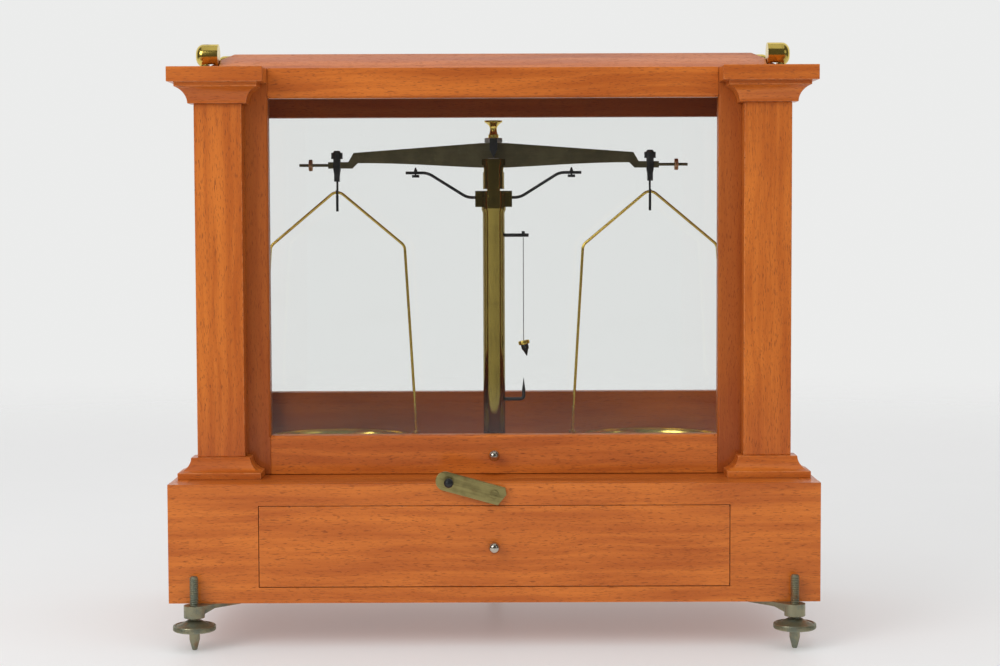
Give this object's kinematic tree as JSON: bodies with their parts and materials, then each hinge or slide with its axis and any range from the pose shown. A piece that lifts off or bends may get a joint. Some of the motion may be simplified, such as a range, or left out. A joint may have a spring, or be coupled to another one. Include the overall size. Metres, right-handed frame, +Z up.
{
  "type": "prescription balance",
  "caption": "Equal-arm beam balance on a brass column with hanging pans, plumb line and arrest lever, in a glazed mahogany case with a counterpoised front sash and a drawer in the base.",
  "frame": {"origin": "on the table, under the middle of the object's box, at the tips of its feet", "axes": "+Z up, front towards -Y, +X to the right as seen from the front, along the beam"},
  "size_m": [0.452, 0.2356, 0.4205],
  "materials": {
    "mahogany": "French polished",
    "lacquered_brass": "lacquered",
    "aged_brass": "dull, tarnished",
    "worn_brass": "brushed and worn",
    "dark_bronze": "darkened bronze",
    "blued_steel": "blackened",
    "grey_steel": "turned",
    "nickel": "nickel plated",
    "clear_glass": "clear pane",
    "agate": "polished stone",
    "cast_iron": "as cast",
    "thread": "fine thread"
  },
  "bodies": {
    "case": {"base_front": "mahogany", "base_carcase": "mahogany", "base_top": "mahogany", "drawer_guides": "mahogany", "pilasters": "mahogany", "capitals": "mahogany", "plinth_mouldings": "mahogany", "side_frame_left": "mahogany", "side_frame_right": "mahogany", "case_rails": "mahogany", "case_glasses": "clear_glass", "roof_board": "mahogany", "pulley_hoods": "lacquered_brass", "levelling_lugs": "aged_brass", "rear_foot": "aged_brass", "column_foot": "lacquered_brass", "column_tube": "lacquered_brass", "column_collar": "lacquered_brass", "arrest_arms": "blued_steel", "arrest_pins": "lacquered_brass", "plumb_bracket": "blued_steel", "plumb_index": "blued_steel"},
    "drawer": {"drawer_front": "mahogany", "drawer_box": "mahogany", "drawer_knob": "nickel"},
    "sash": {"sash_stiles": "mahogany", "sash_top_rail": "mahogany", "sash_bottom_rail": "mahogany", "sash_glass": "clear_glass", "sash_knob": "nickel"},
    "front_pulley_left": {"pulley_front_left": "lacquered_brass"},
    "front_pulley_right": {"pulley_front_right": "lacquered_brass"},
    "rear_pulley_left": {"pulley_rear_left": "lacquered_brass"},
    "rear_pulley_right": {"pulley_rear_right": "lacquered_brass"},
    "weight_left": {"counterweight_left": "cast_iron"},
    "weight_right": {"counterweight_right": "cast_iron"},
    "screw_left": {"levelling_screw_left": "aged_brass"},
    "screw_right": {"levelling_screw_right": "aged_brass"},
    "lever": {"arrest_shaft": "grey_steel", "arrest_lever": "worn_brass", "lever_stud": "blued_steel", "lever_screw": "aged_brass"},
    "lift": {"bearing_fork": "lacquered_brass", "bearing_planes": "agate", "lift_rod": "grey_steel"},
    "beam": {"beam": "dark_bronze", "centre_knife": "blued_steel", "end_knives": "grey_steel", "lock_disc": "grey_steel"},
    "gravity_nut": {"gravity_nut": "lacquered_brass"},
    "tare_left": {"tare_nut_left": "blued_steel"},
    "tare_right": {"tare_nut_right": "blued_steel"},
    "stirrup_left": {"stirrup_left": "blued_steel"},
    "stirrup_right": {"stirrup_right": "blued_steel"},
    "hanger_left": {"bow_left": "lacquered_brass", "pan_left": "lacquered_brass"},
    "hanger_right": {"bow_right": "lacquered_brass", "pan_right": "lacquered_brass"},
    "plumb": {"plumb_line": "thread", "plumb_bob": "blued_steel"}
  },
  "joints": [
    {"name": "drawer_slide", "type": "slide", "parent": "case", "child": "drawer", "axis": [0, -1, 0], "range_m": [0, 0.14]},
    {"name": "sash_slide", "type": "slide", "parent": "case", "child": "sash", "axis": [0, 0, 1], "range_m": [0, 0.2]},
    {"name": "front_pulley_left_spin", "type": "hinge", "parent": "case", "child": "front_pulley_left", "pos_m": [-0.2005, -0.02335, 0.4123], "axis": [1, 0, 0], "continuous": true},
    {"name": "front_pulley_right_spin", "type": "hinge", "parent": "case", "child": "front_pulley_right", "pos_m": [0.2005, -0.02335, 0.4123], "axis": [1, 0, 0], "continuous": true},
    {"name": "rear_pulley_left_spin", "type": "hinge", "parent": "case", "child": "rear_pulley_left", "pos_m": [-0.2005, 0.08965, 0.4123], "axis": [1, 0, 0], "continuous": true},
    {"name": "rear_pulley_right_spin", "type": "hinge", "parent": "case", "child": "rear_pulley_right", "pos_m": [0.2005, 0.08965, 0.4123], "axis": [1, 0, 0], "continuous": true},
    {"name": "weight_left_slide", "type": "slide", "parent": "case", "child": "weight_left", "axis": [0, 0, 1], "range_m": [-0.2, 0]},
    {"name": "weight_right_slide", "type": "slide", "parent": "case", "child": "weight_right", "axis": [0, 0, 1], "range_m": [-0.2, 0]},
    {"name": "screw_left_turn", "type": "hinge", "parent": "case", "child": "screw_left", "pos_m": [-0.2065, -0.10315, 0.026], "axis": [0, 0, 1], "continuous": true},
    {"name": "screw_right_turn", "type": "hinge", "parent": "case", "child": "screw_right", "pos_m": [0.2065, -0.10315, 0.026], "axis": [0, 0, 1], "continuous": true},
    {"name": "lever_turn", "type": "hinge", "parent": "case", "child": "lever", "pos_m": [0, -0.09915, 0.1065], "axis": [0, 1, 0], "range_deg": [0, 60]},
    {"name": "lift_slide", "type": "slide", "parent": "case", "child": "lift", "axis": [0, 0, 1], "range_m": [-0.001, 0]},
    {"name": "beam_rock", "type": "hinge", "parent": "lift", "child": "beam", "pos_m": [0, 0.03335, 0.34], "axis": [0, 1, 0], "range_deg": [-0.9, 0.9]},
    {"name": "gravity_nut_turn", "type": "hinge", "parent": "beam", "child": "gravity_nut", "pos_m": [0, 0.03335, 0.3549], "axis": [0, 0, 1], "continuous": true},
    {"name": "tare_left_turn", "type": "hinge", "parent": "beam", "child": "tare_left", "pos_m": [-0.136, 0.03335, 0.3351], "axis": [1, 0, 0], "continuous": true},
    {"name": "tare_right_turn", "type": "hinge", "parent": "beam", "child": "tare_right", "pos_m": [0.136, 0.03335, 0.3351], "axis": [1, 0, 0], "continuous": true},
    {"name": "stirrup_left_swing", "type": "hinge", "parent": "beam", "child": "stirrup_left", "pos_m": [-0.1165, 0.03335, 0.3395], "axis": [0, 1, 0], "range_deg": [-3, 3]},
    {"name": "stirrup_right_swing", "type": "hinge", "parent": "beam", "child": "stirrup_right", "pos_m": [0.1165, 0.03335, 0.3395], "axis": [0, 1, 0], "range_deg": [-3, 3]},
    {"name": "hanger_left_swing", "type": "hinge", "parent": "stirrup_left", "child": "hanger_left", "pos_m": [-0.1165, 0.03335, 0.315], "axis": [1, 0, 0], "range_deg": [-1.4, 1.4]},
    {"name": "hanger_right_swing", "type": "hinge", "parent": "stirrup_right", "child": "hanger_right", "pos_m": [0.1165, 0.03335, 0.315], "axis": [1, 0, 0], "range_deg": [-1.4, 1.4]},
    {"name": "plumb_swing", "type": "hinge", "parent": "case", "child": "plumb", "pos_m": [0.022, 0.03335, 0.2812], "axis": [0, 1, 0], "range_deg": [-4, 4]}
  ],
  "couplings": [
    {"joint": "front_pulley_left_spin", "follows": "sash_slide", "rad_per_m": -227.27},
    {"joint": "front_pulley_right_spin", "follows": "sash_slide", "rad_per_m": -227.27},
    {"joint": "rear_pulley_left_spin", "follows": "sash_slide", "rad_per_m": -227.27},
    {"joint": "rear_pulley_right_spin", "follows": "sash_slide", "rad_per_m": -227.27},
    {"joint": "weight_left_slide", "follows": "sash_slide", "ratio": -1},
    {"joint": "weight_right_slide", "follows": "sash_slide", "ratio": -1},
    {"joint": "lever_turn", "follows": "lift_slide", "rad_per_m": -1047.2}
  ]
}
